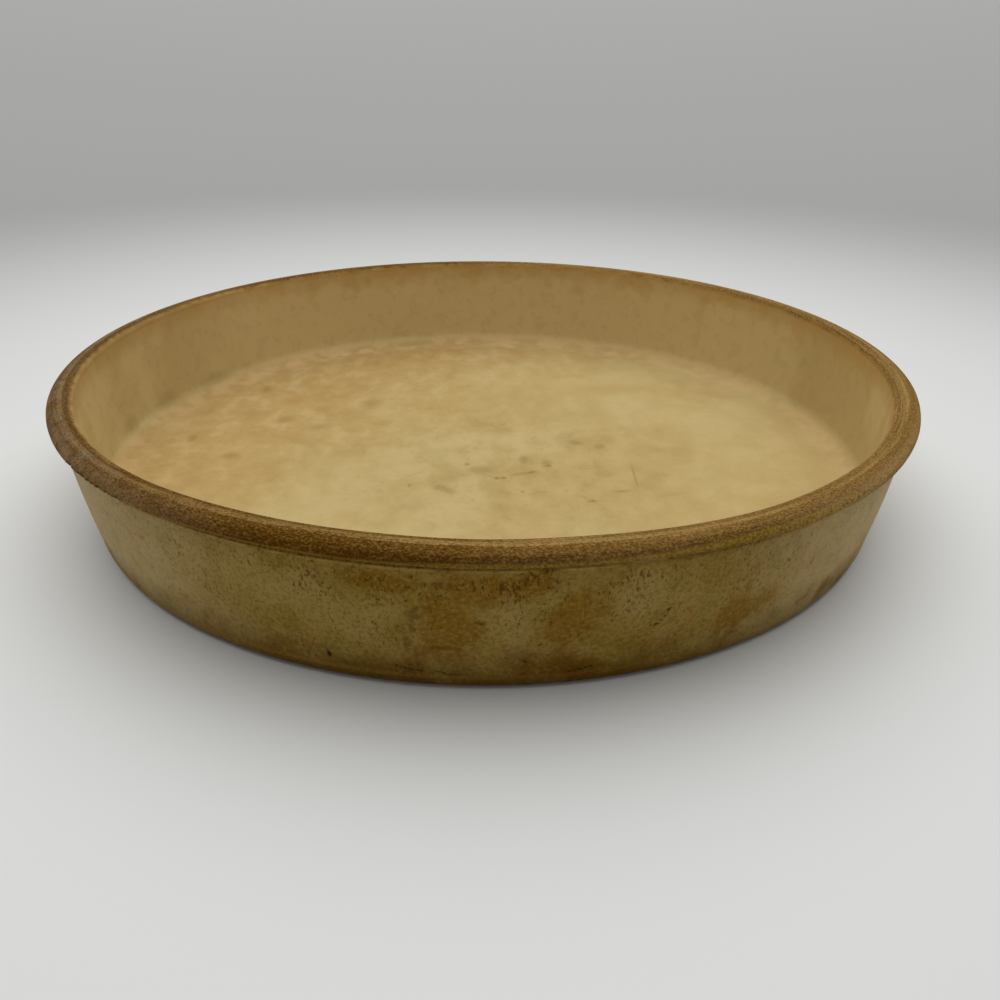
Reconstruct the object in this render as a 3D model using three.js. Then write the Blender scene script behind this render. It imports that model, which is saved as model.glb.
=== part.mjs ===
// Deep dish baking stone: one pressed and fired stoneware body, turned about +Z.
// Millimetres. The origin is the centre of the circle that the dish stands on.
import * as THREE from "three";

// Overall size
const RIM_DIAMETER = 283;
const HEIGHT = 44.8;

// Wall: a shallow arc that leans out from the foot to the rim and bulges slightly on the way
const WALL_THICKNESS = 5.6;
const WALL_DRAFT = 11.3; // degrees from upright
const WALL_CROWN = 0.7; // bulge of the arc over its chord

// Floor and foot
const FLOOR_THICKNESS = 9;
const FLOOR_FILLET = 5; // round between the floor and the inner wall
const FOOT_ROUND = 4; // round between the foot and the outer wall
const FOOT_RING_WIDTH = 16; // flat ring that the dish stands on
const FOOT_RECESS = 1; // underside lifted clear of the table inside the ring
const RECESS_SLOPE_WIDTH = 2;

// Rim: a rounded lip that stands out past the wall, with a cove and a scribed ledge under it
const RIM_OVERHANG = 3.2; // lip's outermost edge beyond the top of the wall
const RIM_DEPTH = 6.5; // crest down to the ledge at the top of the wall
const RIM_ROLL = 3.6; // crest down to the lip's widest circle
const RIM_UNDER_ROUND = 0.6; // tight turn from the lip's face to its underside
const LIP_ROUND = 2; // round between the crest and the inner wall
const LEDGE_STEP = 0.4; // neck set in behind the wall's top edge
const LEDGE_RISE = 0.3;

// Facets
const TURN_SEGMENTS = 96;
const WALL_STEPS = 6;
const ROUND_STEPS = 5;
const ROLL_STEPS = 7;

const rimRadius = RIM_DIAMETER / 2;
const floorTop = FOOT_RECESS + FLOOR_THICKNESS;
const ledge = new THREE.Vector2(rimRadius - RIM_OVERHANG, HEIGHT - RIM_DEPTH);
const wall = wallArc();

// The circle of the outer wall, from its chord between the table and the ledge.
function wallArc() {
  const draft = THREE.MathUtils.degToRad(WALL_DRAFT);
  const chord = ledge.y / Math.cos(draft);
  const radius = chord ** 2 / (8 * WALL_CROWN) + WALL_CROWN / 2;
  const along = new THREE.Vector2(Math.sin(draft), Math.cos(draft));
  const outward = new THREE.Vector2(Math.cos(draft), -Math.sin(draft));
  const middle = ledge.clone().addScaledVector(along, -chord / 2);
  const centre = middle.addScaledVector(outward, WALL_CROWN - radius);
  return { centre, radius };
}

// The point at a given height on a circle that shares the wall's centre.
function besideWall(radius, height) {
  const drop = height - wall.centre.y;
  return new THREE.Vector2(wall.centre.x + Math.sqrt(radius ** 2 - drop ** 2), height);
}

// The direction of a point as seen from the wall's centre.
function wallAngle(point) {
  return Math.atan2(point.y - wall.centre.y, point.x - wall.centre.x);
}

// Points of an ellipse's arc, without its first point, which the profile already holds.
function arc(centre, radiusX, radiusY, from, to, steps) {
  const curve = new THREE.EllipseCurve(centre.x, centre.y, radiusX, radiusY, from, to, to < from);
  return curve.getPoints(steps).slice(1);
}

// Underside and foot: a shallow recess inside a flat standing ring, then the round up to the wall.
function footPoints() {
  const round = besideWall(wall.radius - FOOT_ROUND, FOOT_ROUND);
  const ringInside = round.x - FOOT_RING_WIDTH;
  return [
    new THREE.Vector2(0, FOOT_RECESS),
    new THREE.Vector2(ringInside - RECESS_SLOPE_WIDTH, FOOT_RECESS),
    new THREE.Vector2(ringInside, 0),
    new THREE.Vector2(round.x, 0),
    ...arc(round, FOOT_ROUND, FOOT_ROUND, -Math.PI / 2, wallAngle(round), ROUND_STEPS),
  ];
}

// Outer wall, from the foot's round to the ledge.
function outerWallPoints() {
  const start = wallAngle(besideWall(wall.radius - FOOT_ROUND, FOOT_ROUND));
  return arc(wall.centre, wall.radius, wall.radius, start, wallAngle(ledge), WALL_STEPS);
}

// Rim: ledge, cove, tight turn under the lip, rolled face up to the crest, and the round into the dish.
function rimPoints() {
  const neck = new THREE.Vector2(ledge.x - LEDGE_STEP, ledge.y + LEDGE_RISE);
  const turn = new THREE.Vector2(rimRadius - RIM_UNDER_ROUND, HEIGHT - RIM_ROLL);
  const cove = new THREE.Vector2(turn.x, neck.y);
  const coveHeight = turn.y - RIM_UNDER_ROUND - neck.y;
  const lip = besideWall(wall.radius - WALL_THICKNESS + LIP_ROUND, HEIGHT - LIP_ROUND);
  const roll = new THREE.Vector2(lip.x, turn.y);
  return [
    neck,
    ...arc(cove, cove.x - neck.x, coveHeight, Math.PI, Math.PI / 2, ROUND_STEPS),
    ...arc(turn, RIM_UNDER_ROUND, RIM_UNDER_ROUND, -Math.PI / 2, 0, ROUND_STEPS),
    ...arc(roll, rimRadius - lip.x, RIM_ROLL, 0, Math.PI / 2, ROLL_STEPS),
    ...arc(lip, LIP_ROUND, LIP_ROUND, Math.PI / 2, Math.PI + wallAngle(lip), ROUND_STEPS),
  ];
}

// Inside: the inner wall at an even thickness, the fillet, and the flat floor in to the axis.
function insidePoints() {
  const innerRadius = wall.radius - WALL_THICKNESS;
  const lip = besideWall(innerRadius + LIP_ROUND, HEIGHT - LIP_ROUND);
  const fillet = besideWall(innerRadius - FLOOR_FILLET, floorTop + FLOOR_FILLET);
  return [
    ...arc(wall.centre, innerRadius, innerRadius, wallAngle(lip), wallAngle(fillet), WALL_STEPS),
    ...arc(fillet, FLOOR_FILLET, FLOOR_FILLET, wallAngle(fillet), -Math.PI / 2, ROUND_STEPS),
    new THREE.Vector2(0, floorTop),
  ];
}

function stonewareDish() {
  const profile = [...footPoints(), ...outerWallPoints(), ...rimPoints(), ...insidePoints()];
  const body = new THREE.LatheGeometry(profile, TURN_SEGMENTS);
  body.rotateX(Math.PI / 2);
  const stoneware = new THREE.MeshStandardMaterial({ color: 0xb4935a, roughness: 0.85, metalness: 0 });
  const dish = new THREE.Mesh(body, stoneware);
  dish.name = "stoneware_dish";
  return dish;
}

const bakingStone = new THREE.Group();
bakingStone.add(stonewareDish());

export default bakingStone;
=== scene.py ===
"""Deep dish baking stone: the looks of one pressed, fired and well seasoned stoneware dish."""

import math
import random
from collections import namedtuple

import bmesh
import bpy
from mathutils import Matrix, Vector
from mathutils.kdtree import KDTree


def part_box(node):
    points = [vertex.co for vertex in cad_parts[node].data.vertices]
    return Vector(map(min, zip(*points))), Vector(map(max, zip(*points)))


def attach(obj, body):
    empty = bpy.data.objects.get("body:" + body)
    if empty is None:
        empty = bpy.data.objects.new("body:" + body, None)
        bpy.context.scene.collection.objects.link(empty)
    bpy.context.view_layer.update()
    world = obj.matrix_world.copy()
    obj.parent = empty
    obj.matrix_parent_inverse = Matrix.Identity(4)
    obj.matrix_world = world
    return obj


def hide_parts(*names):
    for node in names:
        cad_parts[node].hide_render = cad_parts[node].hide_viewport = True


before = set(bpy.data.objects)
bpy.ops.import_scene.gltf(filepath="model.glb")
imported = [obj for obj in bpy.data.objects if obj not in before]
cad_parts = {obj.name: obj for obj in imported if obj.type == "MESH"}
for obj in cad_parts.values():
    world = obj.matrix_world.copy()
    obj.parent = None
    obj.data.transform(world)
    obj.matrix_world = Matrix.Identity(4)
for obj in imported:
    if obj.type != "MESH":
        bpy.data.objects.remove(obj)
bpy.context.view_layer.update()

MM = 0.001

# Overall size, from the frame
dish_low, dish_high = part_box("stoneware_dish")
RIM_RADIUS = (dish_high.x - dish_low.x) / 2
HEIGHT = dish_high.z

# Section of the dish
WALL_THICKNESS = 5.6 * MM
WALL_DRAFT = math.radians(11.3)
WALL_CROWN = 0.7 * MM
FLOOR_TOP = 10 * MM
FLOOR_FILLET = 5 * MM
FOOT_ROUND = 4 * MM
FOOT_RING_WIDTH = 16 * MM
FOOT_RECESS = 1 * MM
RECESS_SLOPE_WIDTH = 2 * MM
RIM_OVERHANG = 3.2 * MM
RIM_DEPTH = 6.5 * MM
RIM_ROLL = 3.6 * MM
RIM_UNDER_ROUND = 0.6 * MM
LIP_ROUND = 2 * MM
LEDGE_STEP = 0.4 * MM
LEDGE_RISE = 0.3 * MM
LEDGE = Vector((RIM_RADIUS - RIM_OVERHANG, HEIGHT - RIM_DEPTH))

# Rings of the mesh along the section, and steps around it
TURN_STEPS = 512
WEDGES = 8
RECESS_RINGS = 6
FOOT_RINGS = 4
ROUND_RINGS = 6
WALL_RINGS = 36
COVE_RINGS = 6
ROLL_RINGS = 14
LIP_RINGS = 12
INNER_WALL_RINGS = 16
FILLET_RINGS = 8
FLOOR_RINGS = 12
WELD = 0.002 * MM

# Marks of making and use. Angles are degrees round the dish, with the front at -90; sizes are millimetres
CREST_LINE = (134.35, 0.14, 0.1)  # radius, half width, depth of a line turned into the crest
BASE_RIDGE = (4.3, 0.6, 0.12)  # height, half width, rise of a line round the foot of the wall
KILN_WARP = (  # angle, half arc, lift of the rim
    (-109, 6, 0.4), (-46, 22, -0.7), (-48, 9, -0.7), (-143, 4, -0.5),
)
WARP_REACH = 36 * MM
PITS = (  # angle, height, half width, half height, share of the full depth
    (-107.1, 8.0, 0.75, 1.3, 1.0), (-98.0, 7.9, 0.7, 0.4, 0.4), (-85.8, 9.8, 0.8, 0.6, 0.5),
    (-102.6, 32.2, 0.6, 0.5, 0.5), (-101.1, 29.4, 0.3, 0.7, 0.4), (-99.2, 27.6, 0.35, 0.6, 0.4),
    (-87.2, 33.0, 0.35, 0.6, 0.4), (-79.5, 27.5, 0.5, 0.6, 0.4), (-83.4, 22.4, 0.4, 0.7, 0.4),
    (-81.9, 30.5, 0.3, 0.8, 0.5), (-90.4, 22.6, 0.9, 0.4, 0.4), (-108.5, 31.5, 0.4, 0.6, 0.4),
)
CRACKS = (  # runs of small pits, through these angles and heights
    ((-95.2, 6.4), (-94.2, 5.4), (-93.0, 4.9)),
    ((-72.7, 17.4), (-71.8, 17.8), (-71.0, 19.8), (-70.6, 21.9), (-69.1, 23.3)),
    ((-81.0, 5.1), (-78.6, 6.1)),
    ((-99.4, 6.9), (-98.1, 6.2), (-96.6, 6.3)),
)
LEDGE_CHIPS = (  # from and to angle, number, size
    (-126, -119, 5, 0.45), (-84, -78, 3, 0.4), (48, 56, 6, 0.6), (128, 133, 4, 0.5),
)
RIM_CHIPS = (  # from and to angle, number, size
    (-144, -129, 26, 0.95), (-128, -108, 12, 0.6), (-60, -44, 14, 0.45), (20, 27, 5, 0.7), (150, 154, 4, 0.7),
)

# How unevenly the marks are sized and spread: a pair is the least and the most
MARK_SEED = 7
CRACK_STEP = 0.7
CRACK_SIZE = 0.4
CRACK_SIZES = (0.6, 1.4)  # times that size
CRACK_SLIP = 0.6  # share of a step
CRACK_DRIFT = 0.3
CRACK_DEPTHS = (0.2, 0.9)
CHIP_WIDTHS = (0.6, 1.5)  # times the chip's size, as are its depths
CHIP_DEPTHS = (0.4, 1)
LEDGE_CHIP_DROP = 0.5
LEDGE_CHIP_HEIGHT = 0.8
STRAY_PITS = 34
STRAY_HEIGHTS = (9, 37)
STRAY_SIZES = (0.25, 0.42)
STRAY_LENGTHS = (1, 2.2)  # times the pit's width
STRAY_DEPTH = 0.35
PIT_DEPTH = 0.42 * MM  # the full depth of a mark
MARK_REACH = 1.5 * MM
MARK_CUTS = 4
GRIME_GAIN = 2  # how much sooner a mark turns dark than deep

# Camera, found from the photograph's perspective
SENSOR = 36.0
LENS = 38.12
CAMERA_PLACE = Vector((0, -348.8 * MM, 159.0 * MM))
CAMERA_PITCH = math.radians(25.946)
CAMERA_YAW = math.radians(0.863)
CAMERA_ROLL = math.radians(0.560)
CLIP_START = 10 * MM

# Light and table
SUN_STRENGTH = 2.36
SUN_ANGLE = math.radians(95)
SUN_TILT = math.radians(20)
WORLD_LIGHT = 0.32
BACKGROUND = 0.5
TABLE_SIZE = 40
# Painted shade: the table darkens with distance from the dish, standing in for the falloff of the room's
# light
TABLE_FALLOFF_REACH = (0.15, 0.62)  # distances from the dish at which the table is palest and darkest
TABLE_ROUGHNESS = 0.6


def wall_circle():
    """Centre and radius of the outer wall's arc, from its chord between the table and the ledge."""
    chord = LEDGE.y / math.cos(WALL_DRAFT)
    radius = chord ** 2 / (8 * WALL_CROWN) + WALL_CROWN / 2
    along = Vector((math.sin(WALL_DRAFT), math.cos(WALL_DRAFT)))
    outward = Vector((math.cos(WALL_DRAFT), -math.sin(WALL_DRAFT)))
    return LEDGE - along * chord / 2 + outward * (WALL_CROWN - radius), radius


WALL_CENTRE, WALL_RADIUS = wall_circle()
INNER_RADIUS = WALL_RADIUS - WALL_THICKNESS


def beside_wall(radius, height):
    """The point at a height on a circle that shares the wall's centre."""
    drop = height - WALL_CENTRE.y
    return Vector((WALL_CENTRE.x + math.sqrt(radius ** 2 - drop ** 2), height))


def wall_angle(point):
    """The turn of a point of the section about the wall's centre."""
    return math.atan2(point.y - WALL_CENTRE.y, point.x - WALL_CENTRE.x)


def wall_spot(angle, height):
    """A point on the outer wall, from degrees round the dish and millimetres above the table."""
    radius = beside_wall(WALL_RADIUS, height * MM).x
    turn = math.radians(angle)
    return Vector((radius * math.cos(turn), radius * math.sin(turn), height * MM))


def arc(centre, radius_x, radius_y, start, end, rings):
    """Points of an ellipse's arc, without its first."""
    points = []
    for ring in range(1, rings + 1):
        angle = start + (end - start) * ring / rings
        points.append(centre + Vector((radius_x * math.cos(angle), radius_y * math.sin(angle))))
    return points


def line(start, end, rings):
    """Points of a straight stretch, without its first."""
    return [start.lerp(end, ring / rings) for ring in range(1, rings + 1)]


def underside_points():
    """From the axis over the recess and the foot ring, and round the foot to the wall."""
    round_centre = beside_wall(WALL_RADIUS - FOOT_ROUND, FOOT_ROUND)
    ring_inside = Vector((round_centre.x - FOOT_RING_WIDTH, 0))
    ring_outside = Vector((round_centre.x, 0))
    axis = Vector((0, FOOT_RECESS))
    recess_edge = Vector((ring_inside.x - RECESS_SLOPE_WIDTH, FOOT_RECESS))
    return [
        axis,
        *line(axis, recess_edge, RECESS_RINGS),
        *line(recess_edge, ring_inside, FOOT_RINGS),
        *line(ring_inside, ring_outside, FOOT_RINGS),
        *arc(round_centre, FOOT_ROUND, FOOT_ROUND, -math.pi / 2, wall_angle(round_centre), ROUND_RINGS),
    ]


def outer_wall_points():
    """Up the outer wall's arc to the ledge."""
    start = wall_angle(beside_wall(WALL_RADIUS - FOOT_ROUND, FOOT_ROUND))
    return arc(WALL_CENTRE, WALL_RADIUS, WALL_RADIUS, start, wall_angle(LEDGE), WALL_RINGS)


def rim_points():
    """From the ledge up the cove, over the roll of the rim and round the lip into the dish."""
    neck = Vector((LEDGE.x - LEDGE_STEP, LEDGE.y + LEDGE_RISE))
    turn = Vector((RIM_RADIUS - RIM_UNDER_ROUND, HEIGHT - RIM_ROLL))
    cove = Vector((turn.x, neck.y))
    cove_height = turn.y - RIM_UNDER_ROUND - neck.y
    lip = beside_wall(INNER_RADIUS + LIP_ROUND, HEIGHT - LIP_ROUND)
    roll = Vector((lip.x, turn.y))
    return [
        neck,
        *arc(cove, cove.x - neck.x, cove_height, math.pi, math.pi / 2, COVE_RINGS),
        *arc(turn, RIM_UNDER_ROUND, RIM_UNDER_ROUND, -math.pi / 2, 0, COVE_RINGS),
        *arc(roll, RIM_RADIUS - lip.x, RIM_ROLL, 0, math.pi / 2, ROLL_RINGS),
        *arc(lip, LIP_ROUND, LIP_ROUND, math.pi / 2, math.pi + wall_angle(lip), LIP_RINGS),
    ]


def inside_points():
    """Down the inner wall, round the fillet and over the floor to the axis."""
    lip = beside_wall(INNER_RADIUS + LIP_ROUND, HEIGHT - LIP_ROUND)
    fillet = beside_wall(INNER_RADIUS - FLOOR_FILLET, FLOOR_TOP + FLOOR_FILLET)
    floor_edge = Vector((fillet.x, FLOOR_TOP))
    wall = arc(WALL_CENTRE, INNER_RADIUS, INNER_RADIUS, wall_angle(lip), wall_angle(fillet), INNER_WALL_RINGS)
    return [
        *wall,
        *arc(fillet, FLOOR_FILLET, FLOOR_FILLET, wall_angle(fillet), -math.pi / 2, FILLET_RINGS),
        *line(floor_edge, Vector((0, FLOOR_TOP)), FLOOR_RINGS),
    ]


def turn_dish():
    """The dish's section drawn point by point from one vertex, then spun about the axis."""
    section = [*underside_points(), *outer_wall_points(), *rim_points(), *inside_points()]
    section = [Vector((point.x, 0, point.y)) for point in section]
    bpy.ops.object.select_all(action="DESELECT")
    bpy.ops.mesh.primitive_plane_add(size=MM)
    dish = bpy.context.object
    dish.name = "seasoned_dish"
    bpy.ops.object.mode_set(mode="EDIT")
    bpy.ops.mesh.merge(type="CENTER")
    bpy.ops.transform.translate(value=section[0])
    for here, there in zip(section, section[1:]):
        bpy.ops.mesh.extrude_vertices_move(TRANSFORM_OT_translate={"value": there - here})
    bpy.ops.mesh.select_all(action="SELECT")
    wedge = 2 * math.pi / WEDGES
    bpy.ops.mesh.spin(steps=TURN_STEPS // WEDGES, angle=wedge, center=(0, 0, 0), axis=(0, 0, 1))
    bpy.ops.mesh.select_all(action="SELECT")
    copies = WEDGES - 1
    bpy.ops.mesh.spin(steps=copies, angle=copies * wedge, center=(0, 0, 0), axis=(0, 0, 1), dupli=True)
    bpy.ops.mesh.select_all(action="SELECT")
    bpy.ops.mesh.remove_doubles(threshold=WELD)
    bpy.ops.mesh.normals_make_consistent(inside=False)
    bpy.ops.mesh.faces_shade_smooth()
    bpy.ops.object.mode_set(mode="OBJECT")
    return dish


def pick_points(dish, wanted):
    """In edit mode, selects the points whose place is wanted, and nothing else."""
    bpy.ops.mesh.select_all(action="DESELECT")
    shape = bmesh.from_edit_mesh(dish.data)
    for point in shape.verts:
        point.select = wanted(point.co)
    shape.select_flush_mode()
    bmesh.update_edit_mesh(dish.data)


def pick_faces(dish, wanted):
    """In edit mode, selects the faces whose middle is wanted, and nothing else."""
    bpy.ops.mesh.select_all(action="DESELECT")
    shape = bmesh.from_edit_mesh(dish.data)
    for face in shape.faces:
        if wanted(face.calc_center_median()):
            face.select_set(True)
    bmesh.update_edit_mesh(dish.data)


def turned_lines(dish):
    """The line in the crest and the low ridge round the foot of the wall, as the tool left them."""
    radius, half_width, depth = CREST_LINE
    pick_points(dish, lambda place: place.z > HEIGHT - LIP_ROUND
                and abs(place.xy.length - radius * MM) < half_width * MM)
    bpy.ops.transform.shrink_fatten(value=-depth * MM)
    height, half_width, rise = BASE_RIDGE
    inner_wall = beside_wall(INNER_RADIUS, height * MM).x
    pick_points(dish, lambda place: place.xy.length > inner_wall
                and abs(place.z - height * MM) < half_width * MM)
    bpy.ops.transform.shrink_fatten(value=rise * MM)


def warp_rim(dish):
    """Arcs of the rim that rose or sank a little in the kiln, with the wall under them following."""
    for angle, half_arc, lift in KILN_WARP:
        middle = Vector((math.cos(math.radians(angle)), math.sin(math.radians(angle))))
        nearest = math.cos(math.radians(half_arc))
        pick_points(dish, lambda place: place.z > LEDGE.y and place.xy.normalized().dot(middle) > nearest)
        bpy.ops.transform.translate(value=(0, 0, lift * MM), use_proportional_edit=True,
                                    proportional_edit_falloff="SMOOTH", proportional_size=WARP_REACH)


Mark = namedtuple("Mark", "centre across half_width half_height depth")


def way_round(angle):
    """The direction along the wall at an angle."""
    turn = math.radians(angle)
    return Vector((-math.sin(turn), math.cos(turn), 0))


def wall_mark(angle, height, half_width, half_height, depth):
    """A pit in the outer wall."""
    return Mark(wall_spot(angle, height), way_round(angle), half_width * MM, half_height * MM, depth)


def rim_mark(angle, half_width, half_height, depth):
    """A chip out of the lower edge of the rim."""
    turn = math.radians(angle)
    height = HEIGHT - RIM_ROLL - RIM_UNDER_ROUND
    edge = Vector((RIM_RADIUS * math.cos(turn), RIM_RADIUS * math.sin(turn), height))
    return Mark(edge, way_round(angle), half_width * MM, half_height * MM, depth)


def crack_marks(corners, chance):
    """Small pits of uneven size and depth, strung along a line through these angles and heights."""
    marks = []
    for (angle, height), (next_angle, next_height) in zip(corners, corners[1:]):
        across = math.radians(next_angle - angle) * RIM_RADIUS / MM
        steps = max(1, round(math.hypot(across, next_height - height) / CRACK_STEP))
        for step in range(steps + 1):
            share = (step + chance.uniform(-CRACK_SLIP, CRACK_SLIP)) / steps
            half_width = CRACK_SIZE * chance.uniform(*CRACK_SIZES)
            half_height = CRACK_SIZE * chance.uniform(*CRACK_SIZES)
            drift = chance.uniform(-CRACK_DRIFT, CRACK_DRIFT)
            pit_angle = angle + (next_angle - angle) * share
            pit_height = height + (next_height - height) * share + drift
            depth = chance.uniform(*CRACK_DEPTHS)
            marks.append(wall_mark(pit_angle, pit_height, half_width, half_height, depth))
    return marks


def ledge_chip(start, end, size, chance):
    """A chip out of the ledge, somewhere between two angles."""
    half_width = size * chance.uniform(*CHIP_WIDTHS)
    height = LEDGE.y / MM - chance.uniform(0, LEDGE_CHIP_DROP)
    angle = chance.uniform(start, end)
    return wall_mark(angle, height, half_width, size * LEDGE_CHIP_HEIGHT, size * chance.uniform(*CHIP_DEPTHS))


def rim_chip(start, end, size, chance):
    """A chip out of the rim's lower edge, somewhere between two angles."""
    half_width = size * chance.uniform(*CHIP_WIDTHS)
    angle = chance.uniform(start, end)
    return rim_mark(angle, half_width, size, size * chance.uniform(*CHIP_DEPTHS))


def stray_pit(chance):
    """A small upright pit anywhere round the wall, most often high up."""
    half_width = chance.uniform(*STRAY_SIZES)
    height = chance.triangular(*STRAY_HEIGHTS, STRAY_HEIGHTS[1])
    angle = chance.uniform(-180, 180)
    return wall_mark(angle, height, half_width, half_width * chance.uniform(*STRAY_LENGTHS), STRAY_DEPTH)


def all_marks():
    """Every pit, crack and chip on the outside of the dish."""
    chance = random.Random(MARK_SEED)
    marks = [wall_mark(*pit) for pit in PITS]
    for corners in CRACKS:
        marks += crack_marks(corners, chance)
    for start, end, count, size in LEDGE_CHIPS:
        marks += [ledge_chip(start, end, size, chance) for _ in range(count)]
    for start, end, count, size in RIM_CHIPS:
        marks += [rim_chip(start, end, size, chance) for _ in range(count)]
    marks += [stray_pit(chance) for _ in range(STRAY_PITS)]
    return marks


def mark_depth(mark, place):
    """How deep a point lies in a mark: the mark's own depth in its middle, falling to 0 at its edge."""
    offset = place - mark.centre
    across = offset.dot(mark.across) / mark.half_width
    along = offset.z / mark.half_height
    return mark.depth * max(0, 1 - across ** 2 - along ** 2)


def press_marks(dish):
    """The faces round each mark are cut finer, and the points in it pushed in under the surface."""
    marks = all_marks()
    tree = KDTree(len(marks))
    for number, mark in enumerate(marks):
        tree.insert(mark.centre, number)
    tree.balance()
    pick_faces(dish, lambda middle: tree.find(middle)[2] < MARK_REACH)
    bpy.ops.mesh.subdivide(number_cuts=MARK_CUTS)
    bpy.ops.object.mode_set(mode="OBJECT")
    pressed = dish.vertex_groups.new(name="pressed")
    depths = [0.0] * len(dish.data.vertices)
    for point in dish.data.vertices:
        if point.select:
            close = [marks[number] for _, number, _ in tree.find_range(point.co, MARK_REACH)]
            depth = max((mark_depth(mark, point.co) for mark in close), default=0)
            depths[point.index] = min(1, GRIME_GAIN * depth)
            pressed.add([point.index], depth, "REPLACE")
    grime = dish.data.attributes.new("grime", "FLOAT", "POINT")
    grime.data.foreach_set("value", depths)
    push = dish.modifiers.new("pressed", "DISPLACE")
    push.vertex_group = "pressed"
    push.mid_level = 0
    push.strength = -PIT_DEPTH
    bpy.ops.object.modifier_apply(modifier="pressed")


def split_crowded_faces():
    """The faces beside the finer cuts have points along their edges, and are split into sound triangles."""
    bpy.ops.object.mode_set(mode="EDIT")
    bpy.ops.mesh.select_mode(type="FACE")
    bpy.ops.mesh.select_face_by_sides(number=4, type="GREATER", extend=False)
    bpy.ops.mesh.quads_convert_to_tris(ngon_method="BEAUTY")
    bpy.ops.object.mode_set(mode="OBJECT")


def weathered_dish():
    """The dish as turned, then with the marks of its making and use."""
    dish = turn_dish()
    bpy.ops.object.mode_set(mode="EDIT")
    turned_lines(dish)
    warp_rim(dish)
    press_marks(dish)
    split_crowded_faces()
    return dish


class Wire:
    """One output socket in a node tree. Arithmetic between wires and numbers adds Math nodes."""

    def __init__(self, tree, socket=None):
        self.tree = tree
        self.socket = socket

    def node(self, kind, settings=None, sockets=None, output=0):
        """Adds a node: its settings first, then the values or links of its sockets; gives one output."""
        made = self.tree.nodes.new(kind)
        for name, value in (settings or {}).items():
            setattr(made, name, value)
        for name, value in (sockets or {}).items():
            if isinstance(value, Wire):
                self.tree.links.new(value.socket, made.inputs[name])
            else:
                made.inputs[name].default_value = value
        return Wire(self.tree, made.outputs[output])

    def sister(self, output):
        """Another output of the same node."""
        return Wire(self.tree, self.socket.node.outputs[output])

    def math(self, operation, *others):
        return self.node("ShaderNodeMath", {"operation": operation}, dict(enumerate((self, *others))))

    def __add__(self, other):
        return self.math("ADD", other)

    __radd__ = __add__

    def __sub__(self, other):
        return self.math("SUBTRACT", other)

    def __rsub__(self, other):
        return self.node("ShaderNodeMath", {"operation": "SUBTRACT"}, {0: other, 1: self})

    def __mul__(self, other):
        return self.math("MULTIPLY", other)

    __rmul__ = __mul__


def tone(red, green, blue):
    """A colour written as on screen, from 0 to 255, as the linear values that a shader takes."""
    shares = [channel / 255 for channel in (red, green, blue)]
    return (*[share / 12.92 if share <= 0.04045 else ((share + 0.055) / 1.055) ** 2.4 for share in shares], 1)


def fade(value, none, full):
    """0 at none, 1 at full, smooth between."""
    return value.node("ShaderNodeMapRange", {"interpolation_type": "SMOOTHSTEP"},
                      {"Value": value, "From Min": none, "From Max": full})


def band(value, middle, none, full):
    """1 where the value is within full of the middle, 0 beyond none of it."""
    return fade((value - middle).math("ABSOLUTE"), none, full)


def blend(share, under, over):
    """The colour over laid on the colour under, by its share."""
    return share.node("ShaderNodeMix", {"data_type": "RGBA"}, {0: share, 6: under, 7: over}, 2)


def coat(under, over, where, share):
    """The colour over laid on the colour under where the mask is 1, covering no more than its share."""
    return blend(where * share, under, over)


def noise(place, size, detail, rough=0.55):
    """Soft noise about its middle, with features of about this size."""
    return place.node("ShaderNodeTexNoise", None,
                      {"Vector": place, "Scale": 1 / size, "Detail": detail, "Roughness": rough})


def wander(pattern, reach):
    """A shift to either side that follows a noise, so that an edge wanders or frays."""
    return (pattern - NOISE_MIDDLE) * reach


def covers(pattern, share):
    """1 over about this share of the surface, where the noise is highest, with soft edges."""
    edge = NOISE_MIDDLE + (0.5 - share) * NOISE_SPREAD
    return fade(pattern, edge - NOISE_SOFT, edge + NOISE_SOFT)


def stretch(place, x, y, z):
    """The place measured with another ruler along each axis, so that a pattern on it is longer or shorter."""
    return place.node("ShaderNodeVectorMath", {"operation": "MULTIPLY"}, {0: place, 1: (x, y, z)})


def oval(clay, centre, turn, half_sizes, ragged, soft):
    """1 inside a ragged oval about a point, 0 outside."""
    sockets = {"Vector": clay.place, "Location": centre, "Rotation": (0, 0, turn), "Scale": half_sizes}
    local = clay.place.node("ShaderNodeMapping", {"vector_type": "TEXTURE"}, sockets)
    reach = local.node("ShaderNodeVectorMath", {"operation": "LENGTH"}, {0: local}, "Value")
    return fade(reach + ragged, 1 + soft, 1 - soft)


def either(masks):
    """1 where any of the masks is 1."""
    whole = masks[0]
    for mask in masks[1:]:
        whole = whole.math("MAXIMUM", mask)
    return whole


def ovals_on_wall(clay, stains, ragged, soft):
    """All the ovals of a list of angles, heights, half widths and half heights, as one mask."""
    masks = []
    for angle, height, half_width, half_height in stains:
        turn = math.radians(angle) + math.pi / 2
        half_sizes = (half_width * MM, THROUGH, half_height * MM)
        masks.append(oval(clay, wall_spot(angle, height), turn, half_sizes, ragged, soft))
    return either(masks)


def ovals_on_floor(clay, stains, ragged, soft):
    """All the ovals of a list of places, turns in degrees, half lengths and half widths, as one mask."""
    masks = []
    for x, y, turn, half_length, half_width in stains:
        centre = Vector((x * MM, y * MM, FLOOR_TOP))
        half_sizes = (half_length * MM, half_width * MM, THROUGH)
        masks.append(oval(clay, centre, math.radians(turn), half_sizes, ragged, soft))
    return either(masks)


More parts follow.
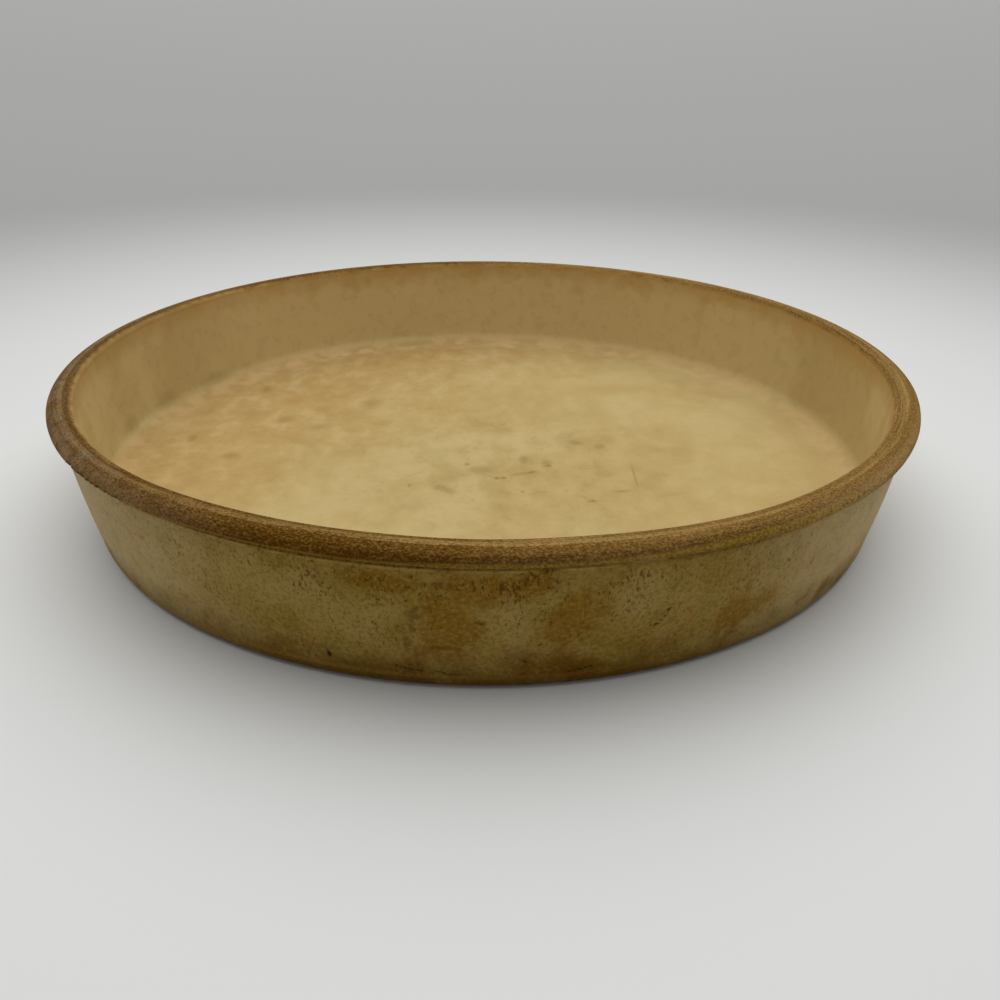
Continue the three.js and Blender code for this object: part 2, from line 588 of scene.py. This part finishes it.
# Patterns of the clay: the size of their features, and how they are stretched
NOISE_MIDDLE = 0.5
NOISE_SPREAD = 0.36
NOISE_SOFT = 0.09
BROAD_SIZE = 38 * MM
SMEAR_SIZE = 20 * MM
BLOTCH_SIZE = 15 * MM
CURL_SIZE = 9 * MM
DAPPLE_SIZE = 8.5 * MM
CLOUD_SIZE = 5 * MM
FLECK_SIZE = 1.15 * MM
TICK_SIZE = 0.66 * MM
LINE_SIZE = 0.9 * MM
SAND_SIZE = 0.54 * MM
UPRIGHT = 0.45  # ruler for height, so that ticks stand up
AWAY = 0.62  # ruler for depth, so that smears lie away from the front
LINE_STRETCH = 0.035
SAND_STRETCH = 0.68
THROUGH = 20 * MM  # how far a stain's oval reaches through the clay
HOLE_LEVEL = (0.72, 0.8)
HOLE_HEIGHTS = (10 * MM, 36 * MM)
HOLES_HIGH_UP = 0.08

# Middle of the rim's section, and the distance from it to the surface
RIM_HEART = Vector((RIM_RADIUS - 5 * MM, HEIGHT - 3.8 * MM))
RIM_REACH = 4.5 * MM

# Stains on the wall: angle, height, half width, half height, in degrees and millimetres
AMBER_STAINS = (
    (-94, 23, 8, 11), (-90, 33, 13, 4.5), (-81, 23, 9, 9), (-81, 6, 14, 3.5), (-101, 34, 9, 3),
    (-61, 14, 9, 6), (-38, 9, 16, 5), (60, 20, 22, 9), (118, 25, 18, 8), (175, 18, 20, 9),
)
PALE_STAINS = ((-87, 23, 5, 6), (-104, 21, 14, 8), (-73, 28, 8, 7), (-113, 28, 20, 9), (88, 26, 16, 8))
DRIP_EDGES = (
    (-97.0, 25, 0.9, 2), (-97.5, 21, 0.8, 3), (-98.1, 15.5, 0.9, 3), (-94.3, 34.3, 4, 0.7),
    (-94.6, 14.4, 4, 0.7), (-90.5, 22.8, 2.2, 0.7),
)
OLIVE_SMUDGES = ((163.5, 13.5, 7, 3), (176, 14.5, 6, 3), (150, 12.5, 8, 2.5))

# Stains on the floor: place, turn, half length, half width, in millimetres and degrees
FLOOR_SCUFFS = (
    (13.2, -10.3, 0, 1.5, 3.3), (21.2, -14.3, 0, 1.7, 3.2), (12.6, -22.2, 22, 4.8, 1.2),
    (5.1, -25.8, 0, 2.2, 1.2), (-1.6, -19.2, -30, 3.2, 3.4), (-13.6, -34.8, -38, 4, 2.2),
    (32.5, 5.2, -25, 2.6, 2), (41, 1.5, 0, 1.8, 2.4), (44.6, -35.8, 10, 2.2, 1),
    (34.3, -43.2, 10, 1.7, 0.9), (50.3, -23, 90, 8, 0.45),
)
FLOOR_CRUMBS = (
    (3.7, -25.8, 0, 0.7, 1), (6.1, -25.6, 0, 0.6, 0.9), (-6.5, -14.5, 0, 0.9, 1.2), (-25.2, -31.6, 0, 0.6, 1),
    (12.1, -36.4, 0, 0.6, 0.8), (34.6, -43, 0, 0.6, 0.7), (21.8, -15.6, 0, 0.9, 1), (15.8, -21, 25, 1.4, 0.7),
)
FLOOR_SPOTS = (
    (-106.7, 7.9, 0, 1.4, 3), (-89.8, -7.7, 30, 2.6, 2.2), (-89.1, 60, 0, 1.7, 4),
    (-76.6, 26.1, 50, 3.2, 2.6), (-45.6, 42.9, 10, 3.2, 4), (-62.3, 19.8, 15, 3.8, 2.8),
)
FLOOR_BROWNS = (
    (65, -1, 10, 6, 3), (92, 56, -30, 9, 4), (47, 61, 5, 16, 5), (-74, 48, 30, 8, 4), (-89, 26, 45, 5, 4),
    (-57, 72, 25, 7, 3),
)

# Colours of the outer wall, as on screen
OLIVE_CLAY = tone(142, 117, 48)
TAN_CLAY = tone(160, 134, 72)
ASHEN_CLAY_AND_SHEEN = tone(206, 185, 145)
PALE_CLAY = tone(162, 138, 79)
AMBER_CLAY = tone(130, 100, 33)
AMBER_STAIN = tone(124, 86, 5)
UMBER_BASE = tone(82, 52, 3)
RIDGE_HIGHLIGHT = tone(140, 108, 46)
GREEN_CAST = tone(128, 114, 50)
PINK_CAST = tone(162, 125, 72)
DARK_GRAIN = tone(92, 66, 18)
LIGHT_GRAIN = tone(172, 145, 82)
TICK_BROWN = tone(70, 42, 0)
PIT_BLACK = tone(46, 27, 0)
# Painted highlight for the ledge's edge
LEDGE_HIGHLIGHT = tone(172, 143, 80)

# Colours of the rim
DARK_RIM_BROWN = tone(82, 51, 2)
RIM_BROWN = tone(103, 71, 17)
NECK_OLIVE_AND_LIGHT = tone(138, 108, 40)
SANDY_CREST = tone(174, 142, 85)
GOLDEN_SAND = tone(132, 100, 50)
ASHEN_BROWN = tone(114, 91, 63)
RIM_SHADE = tone(76, 48, 16)
PINK_BROWN = tone(132, 103, 78)
GREY_ASH = tone(128, 116, 96)
LOW_ASH = tone(150, 121, 85)
LOW_SAND_AND_LIGHT = tone(172, 140, 92)
RUST_SAND = tone(122, 72, 24)
INNER_LINE = tone(84, 56, 16)
DARK_SAND = tone(60, 37, 6)
LIGHT_SAND = tone(182, 145, 82)

# Colours of the inner wall
INNER_TAN = tone(198, 174, 120)
INNER_SHADE = tone(188, 163, 108)
# Painted light for the far inner wall
FAR_TAN_PAINTED_LIGHT = tone(212, 186, 130)
LIP_TAN = tone(166, 132, 74)
LIP_BROWN = tone(152, 117, 61)
FAR_LIP = tone(182, 140, 68)
RUST_EDGE = tone(184, 143, 76)
OLIVE_SMUDGE = tone(150, 128, 76)

# Colours of the floor and the underside
CREAM = tone(188, 166, 113)
WARM_CREAM = tone(178, 151, 95)
PEACH = tone(173, 140, 84)
PALE_CREAM = tone(198, 174, 124)
EDGE_PEACH_AND_LIGHT = tone(210, 179, 126)
TAN_FLECK = tone(160, 132, 78)
SCUFF_GREY = tone(130, 113, 66)
SPOT_BROWN = tone(140, 110, 58)
CRUMB_BROWN = tone(108, 88, 46)
UNDER_BUFF = tone(176, 148, 98)
UNDER_BROWN = tone(142, 108, 58)

# Colours of the table
TABLE_PALE = tone(214, 215, 213)
TABLE_FALLOFF_SHADE = tone(141, 142, 138)


class Clay:
    """Where a point of the dish lies, and the patterns that its finishes share."""

    def __init__(self, pen):
        self.place = pen.node("ShaderNodeTexCoord", output="Object")
        self.x = pen.node("ShaderNodeSeparateXYZ", None, {"Vector": self.place})
        self.y = self.x.sister("Y")
        self.z = self.x.sister("Z")
        self.r = (self.x * self.x + self.y * self.y).math("SQRT")
        self.round_rim = self.turn_about_rim()
        lying = stretch(self.place, 1, AWAY, 1)
        standing = stretch(self.place, 1, 1, UPRIGHT)
        self.broad = noise(self.place, BROAD_SIZE, detail=2)
        self.blotch = noise(self.place, BLOTCH_SIZE, detail=3)
        self.cloud = noise(self.place, CLOUD_SIZE, detail=3, rough=0.6)
        self.fleck = noise(self.place, FLECK_SIZE, detail=4, rough=0.72)
        self.curl = noise(self.place, CURL_SIZE, detail=2, rough=0.5)
        self.smear = noise(lying, SMEAR_SIZE, detail=3)
        self.dapple = noise(lying, DAPPLE_SIZE, detail=3)
        self.ticks = noise(standing, TICK_SIZE, detail=1)
        self.sand = noise(self.along_rim(SAND_STRETCH), SAND_SIZE, detail=3, rough=0.65)
        self.lines = noise(self.along_rim(LINE_STRETCH), LINE_SIZE, detail=3, rough=0.6)
        self.grime = pen.node("ShaderNodeAttribute", {"attribute_name": "grime"}, output="Fac")
        self.ragged = wander(self.cloud, reach=1.3) + wander(self.fleck, reach=0.6)
        self.wavy = wander(self.curl, reach=2.4) + wander(self.cloud, reach=0.9)
        crowd = wander(self.blotch, reach=0.5) + fade(self.z, *HOLE_HEIGHTS) * HOLES_HIGH_UP
        self.holes = fade(self.ticks + crowd, *HOLE_LEVEL)

    def turn_about_rim(self):
        """The way round the rim's section: 0 straight out, a quarter turn at the top, half a turn inside."""
        return (RIM_HEART.x - self.r).math("ARCTAN2", self.z - RIM_HEART.y) + math.pi / 2

    def along_rim(self, share):
        """Places with the way along the rim shortened by a share, so that patterns run along it."""
        return self.place.node("ShaderNodeCombineXYZ", None, {"X": self.x * share, "Y": self.y * share,
                                                              "Z": self.round_rim * RIM_REACH})


# Where the wall's finishes lie. Here and below, a pair is where a finish begins and where it is full
WALL_ENDS = (46 * MM, 125 * MM)
WALL_FRONT = (80 * MM, 30 * MM)
WALL_FRONT_WANDER = 80 * MM
WALL_FRONT_DEPTH = (0, -100 * MM)
UNDER_RIM = (29 * MM, 37 * MM)
UNDER_RIM_WANDER = 16 * MM
BASE_HEIGHTS = (15.5 * MM, 0.5 * MM)
BASE_WANDER = 18 * MM
BASE_SIDES = (20 * MM, 80 * MM)
RIDGE_WIDTH = (1.1 * MM, 0.3 * MM)
RIDGE_LEFT = (20 * MM, -50 * MM)
LEDGE_LIGHT = (LEDGE.y - 0.8 * MM, LEDGE.y - 0.2 * MM)
LEDGE_LIGHT_RIGHT = (-60 * MM, 40 * MM)
GREEN_LEVEL = (0.4, 0.78)
PINK_LEVEL = (0.6, 0.24)
LIGHT_LEVEL = (0.46, 0.76)
DARK_LEVEL = (0.53, 0.23)


def wall_finish(clay):
    """Outer wall: olive and tan clay, amber at the front and pale at the ends with painted sheen, with small
    dark ticks and painted highlights along the base ridge and under the ledge.
    """
    sideways = clay.x.math("ABSOLUTE")
    ends = fade(sideways, *WALL_ENDS)
    front = fade(sideways + wander(clay.blotch, WALL_FRONT_WANDER), *WALL_FRONT)
    front = front * fade(clay.y, *WALL_FRONT_DEPTH)
    colour = blend(covers(clay.broad, 0.5), OLIVE_CLAY, TAN_CLAY)
    colour = coat(colour, AMBER_CLAY, front, share=0.5)
    # Partly painted sheen: the ends of the wall are paler, both pale clay and light glancing off them
    colour = coat(colour, ASHEN_CLAY_AND_SHEEN, ends, share=0.85)
    colour = coat(colour, AMBER_STAIN, covers(clay.blotch, 0.3), share=0.25 - ends * 0.25)
    colour = coat(colour, GREEN_CAST, fade(clay.curl, *GREEN_LEVEL), share=0.38)
    colour = coat(colour, PINK_CAST, fade(clay.curl, *PINK_LEVEL), share=0.4)
    colour = coat(colour, LIGHT_GRAIN, fade(clay.cloud, *LIGHT_LEVEL), share=0.26)
    colour = coat(colour, DARK_GRAIN, fade(clay.cloud, *DARK_LEVEL), share=0.24 - ends * 0.14)
    amber = ovals_on_wall(clay, AMBER_STAINS, clay.wavy, soft=0.4)
    colour = coat(colour, AMBER_STAIN, amber, share=0.72 - ends * 0.5)
    pale = ovals_on_wall(clay, PALE_STAINS, clay.wavy, soft=0.6)
    colour = coat(colour, PALE_CLAY, pale, share=0.6)
    under_rim = fade(clay.z + wander(clay.blotch, UNDER_RIM_WANDER), *UNDER_RIM)
    colour = coat(colour, AMBER_STAIN, under_rim * front, share=0.12)
    base = fade(clay.z + wander(clay.curl, BASE_WANDER), *BASE_HEIGHTS)
    colour = coat(colour, UMBER_BASE, base, share=0.86 - fade(sideways, *BASE_SIDES) * 0.28)
    # Painted highlight: a pale line along the low ridge round the foot of the wall, as if it caught the light
    ridge_height = BASE_RIDGE[0] * MM
    ridge = band(clay.z, ridge_height, *RIDGE_WIDTH)
    colour = coat(colour, RIDGE_HIGHLIGHT, ridge, share=0.16 + fade(clay.x, *RIDGE_LEFT) * 0.3)
    drips = ovals_on_wall(clay, DRIP_EDGES, clay.ragged, soft=0.6)
    colour = coat(colour, DARK_GRAIN, drips, share=0.5)
    above_base = 1 - base * 0.7
    colour = coat(colour, LIGHT_GRAIN, covers(clay.fleck, 0.3) * above_base, share=0.34 - ends * 0.14)
    colour = coat(colour, DARK_GRAIN, covers(1 - clay.fleck, 0.3), share=0.5 - ends * 0.38)
    colour = coat(colour, TICK_BROWN, clay.holes, share=0.58 - ends * 0.5)
    # Painted highlight: a pale broken line just under the ledge's edge, where it would catch the light
    edge = fade(clay.z, *LEDGE_LIGHT) * covers(clay.cloud, 0.6)
    return coat(colour, LEDGE_HIGHLIGHT, edge, share=0.6 + fade(clay.x, *LEDGE_LIGHT_RIGHT) * 0.3)


# Where the rim's finishes lie, along the dish and as turns round the rim's section
RIM_FRONT = (-70 * MM, -115 * MM)
RIM_BACK = (60 * MM, 115 * MM)
RIM_RIGHT = (-40 * MM, 58 * MM)
RIM_LEFT = (-48 * MM, -125 * MM)
RIM_WANDER = 40 * MM
DARKEST_MIDDLE = -28 * MM
DARKEST_REACH = (58 * MM, 22 * MM)
LOW_EDGE_RIGHT = (-42 * MM, -12 * MM)
LOW_SAND_RIGHT = (60 * MM, 110 * MM)
CREST_RIGHT = (-60 * MM, 30 * MM)
NECK_TURN = (0.2, 0.05)
LOW_EDGE_TURN = 0.34
LOW_EDGE_REACH = (0.24, 0.08)
LOW_SAND_TURN = (0.8, 0.2)
LOW_ASH_TURN = (0.95, 0.3)
UPPER_TURN = (0.45, 1.0)
FOLD_TURN = 0.98
FOLD_REACH = (0.2, 0.05)
TURNED_TURN = (0.9, 1.4)
CREST_TURN = (1.22, 1.42)
INNER_LINE_TURN = (1.68, 1.82)


def rim_finish(clay):
    """Rim: dry sandy clay, pale on the crest, darker down the front of its face and golden to the right."""
    face = clay.round_rim + wander(clay.lines, reach=0.35) + wander(clay.sand, reach=0.3)
    sideways = clay.x + wander(clay.blotch, RIM_WANDER)
    front = fade(clay.y, *RIM_FRONT)
    back = fade(clay.y, *RIM_BACK)
    right = fade(sideways, *RIM_RIGHT)
    left = fade(sideways, *RIM_LEFT)
    upper = fade(face, *UPPER_TURN)
    inward = face + left * 0.18 + right * 0.12
    # Darker low on the rim's outer face, browner towards the crest
    colour = blend(upper, DARK_RIM_BROWN, RIM_BROWN)
    colour = coat(colour, DARK_RIM_BROWN, band(clay.x, DARKEST_MIDDLE, *DARKEST_REACH) * front, share=0.42)
    colour = coat(colour, GOLDEN_SAND, right, share=0.9)
    colour = coat(colour, ASHEN_BROWN, left, share=0.8)
    low_edge = band(face, LOW_EDGE_TURN, *LOW_EDGE_REACH) * fade(clay.x, *LOW_EDGE_RIGHT) * front
    colour = coat(colour, DARK_SAND, low_edge, share=0.5)
    # Partly painted light: olive clay in the cove under the rim's roll, made paler to lift the cove's shade
    colour = coat(colour, NECK_OLIVE_AND_LIGHT, fade(face, *NECK_TURN) * front, share=0.95)
    colour = coat(colour, LOW_ASH, fade(face, *LOW_ASH_TURN) * left, share=0.6)
    # Partly painted light: paler sand low on the rim's face to the right, lifting the shade of the
    # downward-facing face
    colour = coat(colour, LOW_SAND_AND_LIGHT, fade(face, *LOW_SAND_TURN) * fade(clay.x, *LOW_SAND_RIGHT), share=0.6)
    paler = 0.42 + fade(clay.x, *CREST_RIGHT) * 0.5 - right * 0.42 - left * 0.24
    colour = coat(colour, SANDY_CREST, fade(inward, *CREST_TURN), share=paler)
    colour = coat(colour, RIM_SHADE, covers(clay.cloud, 0.4), share=0.1 + left * 0.35)
    colour = coat(colour, PINK_BROWN, covers(1 - clay.cloud, 0.3) * left, share=0.5)
    colour = coat(colour, RIM_SHADE, band(inward, FOLD_TURN, *FOLD_REACH) * left, share=0.45)
    colour = coat(colour, GREY_ASH, covers(clay.curl, 0.35) * left * upper, share=0.5)
    rusty = (1 - right) * (1 - left * 0.5)
    colour = coat(colour, RUST_SAND, covers(clay.fleck, 0.3) * rusty, share=0.35)
    drawn = 0.85 - right * 0.42 - left * 0.12 - back * 0.3
    colour = coat(colour, INNER_LINE, fade(inward, *INNER_LINE_TURN), share=drawn)
    turned = 0.35 + fade(face, *TURNED_TURN) * 0.65
    colour = coat(colour, DARK_RIM_BROWN, covers(1 - clay.lines, 0.28) * turned, share=0.4 - left * 0.06)
    colour = coat(colour, LIGHT_SAND, covers(clay.lines, 0.22) * turned, share=0.2 + right * 0.25)
    colour = coat(colour, DARK_SAND, covers(1 - clay.sand, 0.33), share=0.64 - right * 0.16 - left * 0.16)
    grains = 0.2 + upper * 0.12 + right * 0.12 - left * 0.06
    return coat(colour, LIGHT_SAND, covers(clay.sand, 0.3), share=grains)


# Where the inner wall's finishes lie
FAR_HALF = (20 * MM, 110 * MM)
FAR_WALL = (30 * MM, 110 * MM)
LIP_HEIGHTS = (35 * MM, 43.5 * MM)
LIP_TURN = (2.9, 2.35)
RUST_HEIGHTS = (33 * MM, 47 * MM)
RUST_WANDER = 22 * MM
RUST_FRAY = 8 * MM
WORN_SIDE = (-20 * MM, 80 * MM)
WORN_SLANT = 0.6


def inside_finish(clay):
    """Inner wall: even tan clay, with painted light making the far side paler, rusty towards the rim, with
    olive smudges low down.
    """
    back = fade(clay.y, *FAR_HALF)
    colour = blend(covers(clay.broad, 0.5), INNER_TAN, INNER_SHADE)
    # Painted light: the far side of the inner wall is paler, standing in for light falling on it
    colour = coat(colour, FAR_TAN_PAINTED_LIGHT, fade(clay.y, *FAR_WALL), share=0.8)
    colour = coat(colour, OLIVE_SMUDGE, covers(clay.cloud, 0.3), share=0.15)
    colour = coat(colour, RUST_EDGE, covers(1 - clay.fleck, 0.2), share=0.1)
    colour = coat(colour, LIP_TAN, fade(clay.z, *LIP_HEIGHTS), share=0.5 - back * 0.25)
    patchy = 0.4 + covers(clay.curl, 0.5) * 0.3 + back * 0.25
    colour = coat(colour, blend(back, LIP_BROWN, FAR_LIP), fade(clay.round_rim, *LIP_TURN), share=patchy)
    rusty = fade(clay.z + wander(clay.curl, RUST_WANDER) + wander(clay.cloud, RUST_FRAY), *RUST_HEIGHTS)
    worn = fade(clay.y + clay.x * WORN_SLANT, *WORN_SIDE)
    colour = coat(colour, RUST_EDGE, rusty, share=0.15 + worn * 0.4)
    smudges = ovals_on_wall(clay, OLIVE_SMUDGES, clay.ragged, soft=0.6)
    return coat(colour, OLIVE_SMUDGE, smudges, share=0.35)


# Where the floor's finishes lie
WARM_REACH = (0, 120 * MM)
WARM_SLANT = 0.7
WARM_WANDER = 100 * MM
USED_MIDDLE = Vector((8 * MM, -20 * MM))
USED_REACH = (70 * MM, 25 * MM)
FLOOR_EDGE = (115 * MM, 123 * MM)
FLOOR_EDGE_WANDER = 14 * MM
DARK_DAPPLE = (0.5, 0.68)
PALE_DAPPLE = (0.48, 0.33)
CREASE_LEVEL = 0.53
CREASE_WIDTH = (0.012, 0.003)
SCRATCH_WIDTH = (0.024, 0.004)


def floor_finish(clay):
    """Floor: cream clay, warmer to the left and back, with brown patches, scuffs and a paler ragged edge that
    is partly pale clay and partly painted light against the corner's shade.
    """
    back = fade(clay.y, *FAR_HALF)
    warm = fade(clay.y * WARM_SLANT - clay.x + wander(clay.blotch, WARM_WANDER), *WARM_REACH)
    smeared = covers(clay.smear, 0.4)
    colour = coat(CREAM, WARM_CREAM, covers(clay.broad, 0.5), share=0.45)
    colour = coat(colour, PEACH, warm, share=0.68)
    colour = coat(colour, PEACH, smeared, share=0.16)
    colour = coat(colour, PALE_CREAM, covers(1 - clay.smear, 0.3), share=0.13)
    dappled = 0.12 + warm * 0.34 + smeared * 0.08
    colour = coat(colour, TAN_FLECK, fade(clay.dapple, *DARK_DAPPLE), share=dappled)
    colour = coat(colour, PALE_CREAM, fade(clay.dapple, *PALE_DAPPLE), share=0.28 + warm * 0.1)
    colour = coat(colour, TAN_FLECK, covers(clay.cloud, 0.35), share=0.05 + warm * 0.07)
    colour = coat(colour, PALE_CREAM, covers(1 - clay.cloud, 0.3), share=0.06 + warm * 0.05)
    creases = band(clay.dapple, CREASE_LEVEL, *CREASE_WIDTH) * covers(clay.cloud, 0.45)
    colour = coat(colour, TAN_FLECK, creases, share=0.14 + warm * 0.2)
    colour = coat(colour, TAN_FLECK, covers(clay.fleck, 0.2), share=0.11)
    colour = coat(colour, PALE_CREAM, covers(1 - clay.fleck, 0.2), share=0.11)
    browns = ovals_on_floor(clay, FLOOR_BROWNS, clay.ragged, soft=0.6)
    colour = coat(colour, PEACH, browns, share=0.35)
    off_x = clay.x - USED_MIDDLE.x
    off_y = clay.y - USED_MIDDLE.y
    used = fade((off_x * off_x + off_y * off_y).math("SQRT"), *USED_REACH)
    scratches = band(clay.curl, NOISE_MIDDLE, *SCRATCH_WIDTH) * covers(clay.cloud, 0.35) * used
    colour = coat(colour, SCUFF_GREY, scratches, share=0.24)
    colour = coat(colour, SCUFF_GREY, used * covers(clay.dapple, 0.4), share=0.12)
    scuffs = ovals_on_floor(clay, FLOOR_SCUFFS, clay.ragged * 1.5, soft=0.6)
    colour = coat(colour, SCUFF_GREY, scuffs, share=0.4)
    crumbs = ovals_on_floor(clay, FLOOR_CRUMBS, clay.ragged * 0.5, soft=0.6)
    colour = coat(colour, CRUMB_BROWN, crumbs, share=0.36)
    spots = ovals_on_floor(clay, FLOOR_SPOTS, clay.ragged * 1.5, soft=0.9)
    colour = coat(colour, SPOT_BROWN, spots, share=0.42)
    # Partly painted light: the paler ragged edge of the floor also lifts the shade in the corner by the wall,
    # more at the back
    broken = 0.35 + covers(clay.curl, 0.5) * 0.65
    edge = fade(clay.r + wander(clay.dapple, FLOOR_EDGE_WANDER), *FLOOR_EDGE) * broken
    return coat(colour, EDGE_PEACH_AND_LIGHT, edge, share=0.45 + back * 0.35)


# Where the underside's finishes lie
UNDER_CLOUDS = (0.4, 0.66)
UNDER_BLOTCHES = 0.6
STANDING_RING = (103 * MM, 117 * MM)
STANDING_RING_WANDER = 12 * MM
FOOT_EDGE = (119 * MM, 128 * MM)


def underside_finish(clay):
    """Underside: bare buff clay, faintly clouded, browned where it stands and towards the foot's edge."""
    clouds = fade(clay.blotch * UNDER_BLOTCHES + clay.broad * (1 - UNDER_BLOTCHES), *UNDER_CLOUDS)
    colour = coat(UNDER_BUFF, UNDER_BROWN, clouds, share=0.35)
    ring = fade(clay.r + wander(clay.blotch, STANDING_RING_WANDER), *STANDING_RING)
    colour = coat(colour, UNDER_BROWN, ring, share=0.5)
    colour = coat(colour, UMBER_BASE, fade(clay.r, *FOOT_EDGE), share=0.6)
    colour = coat(colour, LIGHT_GRAIN, covers(clay.cloud, 0.35), share=0.12)
    return coat(colour, DARK_GRAIN, covers(1 - clay.fleck, 0.3), share=0.35)


# Where one finish gives way to the next
WALL_MIDDLE = LEDGE.x - LEDGE.y * math.tan(WALL_DRAFT) - WALL_THICKNESS / 2 / math.cos(WALL_DRAFT)
ACROSS_WALL = (-0.8 * MM, 0.8 * MM)
ON_FLOOR = (FLOOR_TOP + 2.2 * MM, FLOOR_TOP + 0.2 * MM)
ON_FLOOR_WANDER = 2 * MM
BELOW_HEIGHTS = (2.2 * MM, 1.4 * MM)
BELOW_RADII = (128.6 * MM, 127 * MM)
OVER_LEDGE = (LEDGE.y - 0.1 * MM, LEDGE.y + 0.4 * MM)
LIP_EDGE_TURN = 2.13
LIP_EDGE_FADE = (0.26, -0.2)
LIP_FRONT_AND_BACK = (70 * MM, 115 * MM)
LIP_FRONT_AND_BACK_TURN = 0.15
LIP_RIGHT = (60 * MM, 120 * MM)
LIP_RIGHT_TURN = 0.3

# Surface of the clay
BUMP_STRENGTH = 0.8
BUMP_DEPTH = 1 * MM
FLECK_RELIEF = 0.12
SAND_RELIEF = 0.25
LINE_RELIEF = 0.2
HOLE_RELIEF = 0.25
CLAY_ROUGHNESS = 0.68
RIM_ROUGHNESS = 0.16
CLOUD_ROUGHNESS = 0.12
CLAY_SHINE = 0.03
GRIME_SHARE = 0.75


def rim_mask(clay):
    """1 on the rim, from the ledge under it to a frayed edge inside the lip."""
    front_and_back = fade(clay.y.math("ABSOLUTE"), *LIP_FRONT_AND_BACK)
    right = fade(clay.x, *LIP_RIGHT)
    lip_edge = LIP_EDGE_TURN + front_and_back * LIP_FRONT_AND_BACK_TURN + right * LIP_RIGHT_TURN
    frayed = clay.round_rim + wander(clay.cloud, reach=0.6) + wander(clay.sand, reach=0.25)
    return fade(clay.z, *OVER_LEDGE) * fade(frayed - lip_edge, *LIP_EDGE_FADE)


def seasoned_stoneware():
    """One material for the whole dish, with a finish of its own for each surface."""
    material = bpy.data.materials.new("seasoned_stoneware")
    material.use_nodes = True
    tree = material.node_tree
    pen = Wire(tree)
    clay = Clay(pen)
    outside = fade(clay.r - clay.z * math.tan(WALL_DRAFT) - WALL_MIDDLE, *ACROSS_WALL)
    on_floor = fade(clay.z + wander(clay.cloud, ON_FLOOR_WANDER), *ON_FLOOR)
    below = fade(clay.z, *BELOW_HEIGHTS) * fade(clay.r, *BELOW_RADII)
    rim = rim_mask(clay)
    colour = blend(on_floor, inside_finish(clay), floor_finish(clay))
    colour = blend(outside, colour, wall_finish(clay))
    colour = blend(rim, colour, rim_finish(clay))
    colour = blend(below, colour, underside_finish(clay))
    colour = coat(colour, PIT_BLACK, clay.grime, share=GRIME_SHARE)
    sandy = (clay.sand * SAND_RELIEF + clay.lines * LINE_RELIEF) * rim
    height = clay.fleck * FLECK_RELIEF + sandy - clay.holes * outside * HOLE_RELIEF
    roughness = CLAY_ROUGHNESS + rim * RIM_ROUGHNESS + clay.cloud * CLOUD_ROUGHNESS
    bump = pen.node("ShaderNodeBump", None,
                    {"Strength": BUMP_STRENGTH, "Distance": BUMP_DEPTH, "Height": height}, "Normal")
    shader = tree.nodes["Principled BSDF"]
    shader.inputs["Specular IOR Level"].default_value = CLAY_SHINE
    tree.links.new(colour.socket, shader.inputs["Base Color"])
    tree.links.new(roughness.socket, shader.inputs["Roughness"])
    tree.links.new(bump.socket, shader.inputs["Normal"])
    return material


def lay_table():
    """A wide pale table with painted shade that darkens it away from the dish, for the falloff of the room's
    light.
    """
    bpy.ops.object.select_all(action="DESELECT")
    bpy.ops.mesh.primitive_plane_add(size=TABLE_SIZE)
    table = bpy.context.object
    table.name = "pale_table"
    material = bpy.data.materials.new("pale_table")
    material.use_nodes = True
    tree = material.node_tree
    pen = Wire(tree)
    place = pen.node("ShaderNodeTexCoord", output="Object")
    away = pen.node("ShaderNodeVectorMath", {"operation": "LENGTH"}, {0: place}, "Value")
    # Painted shade: the table's colour darkens with distance from the dish
    colour = blend(fade(away, *TABLE_FALLOFF_REACH), TABLE_PALE, TABLE_FALLOFF_SHADE)
    shader = tree.nodes["Principled BSDF"]
    shader.inputs["Roughness"].default_value = TABLE_ROUGHNESS
    tree.links.new(colour.socket, shader.inputs["Base Color"])
    table.data.materials.append(material)


def set_light():
    """One wide soft light overhead, and an even grey room."""
    bpy.ops.object.light_add(type="SUN", location=(0, 0, 1))
    sun = bpy.context.object
    sun.name = "overhead_softbox"
    sun.rotation_euler = (-SUN_TILT, 0, 0)
    sun.data.energy = SUN_STRENGTH
    sun.data.angle = SUN_ANGLE
    world = bpy.data.worlds.new("studio")
    world.use_nodes = True
    tree = world.node_tree
    seen = Wire(tree).node("ShaderNodeLightPath", output="Is Camera Ray")
    shown = either([seen, seen.sister("Is Glossy Ray"), seen.sister("Is Transmission Ray")])
    strength = WORLD_LIGHT + shown * (BACKGROUND - WORLD_LIGHT)
    tree.links.new(strength.socket, tree.nodes["Background"].inputs["Strength"])
    tree.nodes["Background"].inputs["Color"].default_value = (1, 1, 1, 1)
    bpy.context.scene.world = world


def set_camera():
    """The camera where the photograph was taken from."""
    bpy.ops.object.camera_add()
    camera = bpy.context.object
    camera.name = "photo_camera"
    camera.data.sensor_width = SENSOR
    camera.data.lens = LENS
    camera.data.clip_start = CLIP_START
    turn = Matrix.Rotation(-CAMERA_YAW, 4, "Z")
    tip = Matrix.Rotation(math.pi / 2 - CAMERA_PITCH, 4, "X")
    roll = Matrix.Rotation(CAMERA_ROLL, 4, "Z")
    camera.matrix_world = Matrix.Translation(CAMERA_PLACE) @ turn @ tip @ roll
    bpy.context.scene.camera = camera


dish = weathered_dish()
dish.data.materials.append(seasoned_stoneware())
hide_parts("stoneware_dish")
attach(dish, "root")
lay_table()
set_light()
set_camera()
bpy.context.scene.view_settings.view_transform = "Standard"
